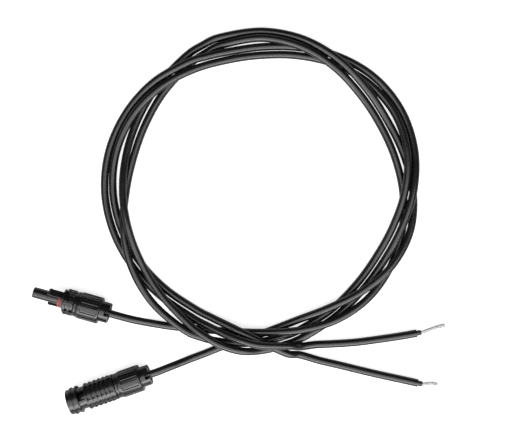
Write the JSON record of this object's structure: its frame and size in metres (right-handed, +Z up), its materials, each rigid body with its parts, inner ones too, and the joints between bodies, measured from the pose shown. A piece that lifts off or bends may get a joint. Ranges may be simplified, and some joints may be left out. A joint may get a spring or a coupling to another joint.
{
  "type": "solar cable connector pair with leads",
  "caption": "Pair of solar module leads with mating pin and socket cable connectors, latch arms and cap nuts, wound into a flat loop with stripped ends.",
  "frame": {"origin": "on the plane that the pair lies on, under the middle of the two connectors", "axes": "+Z up from the plane; +X from the connectors' mating ends towards the leads' bare ends; +Y towards the cable loop"},
  "size_m": [0.2924, 0.2734, 0.021],
  "materials": {
    "housing_plastic": "black moulded plastic, satin",
    "nut_plastic": "black moulded plastic, satin",
    "cable_jacket": "black extruded jacket, semi-gloss",
    "inner_insulation": "black inner insulation",
    "seal_red": "dull red silicone",
    "seal_grey": "dark grey silicone",
    "tinned_contact": "tin-plated copper, satin",
    "spring_steel": "bright spring steel",
    "tinned_strands": "tinned copper strands, bright"
  },
  "bodies": {
    "housings_and_leads": {"socket_housing": "housing_plastic", "nose_seal_ring": "seal_red", "socket_contact": "tinned_contact", "contact_spring_band": "spring_steel", "socket_retaining_clip": "spring_steel", "socket_conductor_end": "tinned_strands", "socket_insulation_end": "inner_insulation", "socket_cable_seal": "seal_grey", "pin_housing": "housing_plastic", "pin_contact": "tinned_contact", "pin_retaining_clip": "spring_steel", "pin_conductor_end": "tinned_strands", "pin_insulation_end": "inner_insulation", "pin_cable_seal": "seal_grey", "socket_lead_jacket": "cable_jacket", "socket_lead_insulation_tip": "inner_insulation", "socket_lead_bare_strands": "tinned_strands", "pin_lead_jacket": "cable_jacket", "pin_lead_insulation_tip": "inner_insulation", "pin_lead_bare_strands": "tinned_strands"},
    "latch_arm_a": {"latch_arm_a": "housing_plastic"},
    "latch_arm_b": {"latch_arm_b": "housing_plastic"},
    "socket_collet": {"socket_clamp_collet": "nut_plastic"},
    "socket_nut": {"socket_cap_nut": "nut_plastic"},
    "pin_collet": {"pin_clamp_collet": "nut_plastic"},
    "pin_nut": {"pin_cap_nut": "nut_plastic"}
  },
  "joints": [
    {"name": "latch_arm_a_press", "type": "hinge", "parent": "housings_and_leads", "child": "latch_arm_a", "pos_m": [-0.0165, 0.03811, 0.01439], "axis": [-0.2132, -0.7586, 0.6157], "range_deg": [0, 3], "stiffness_Nm_per_rad": 0.5},
    {"name": "latch_arm_b_press", "type": "hinge", "parent": "housings_and_leads", "child": "latch_arm_b", "pos_m": [-0.01857, 0.03076, 0.00461], "axis": [0.2132, 0.7586, -0.6157], "range_deg": [0, 3], "stiffness_Nm_per_rad": 0.5},
    {"name": "socket_collet_slide", "type": "slide", "parent": "housings_and_leads", "child": "socket_collet", "axis": [0.9627, -0.2706, 0], "range_m": [0, 0.0045]},
    {"name": "socket_nut_turn", "type": "hinge", "parent": "socket_collet", "child": "socket_nut", "pos_m": [-0.0002, 0.02956, 0.0095], "axis": [0.9627, -0.2706, 0], "range_deg": [0, 1080]},
    {"name": "pin_collet_slide", "type": "slide", "parent": "housings_and_leads", "child": "pin_collet", "axis": [0.9441, 0.3297, 0], "range_m": [0, 0.0045]},
    {"name": "pin_nut_turn", "type": "hinge", "parent": "pin_collet", "child": "pin_nut", "pos_m": [0.0308, -0.02002, 0.00965], "axis": [0.9441, 0.3297, 0], "range_deg": [0, 1080]}
  ],
  "couplings": [
    {"joint": "socket_collet_slide", "follows": "socket_nut_turn", "m_per_rad": 0.0002387},
    {"joint": "pin_collet_slide", "follows": "pin_nut_turn", "m_per_rad": 0.0002387}
  ]
}
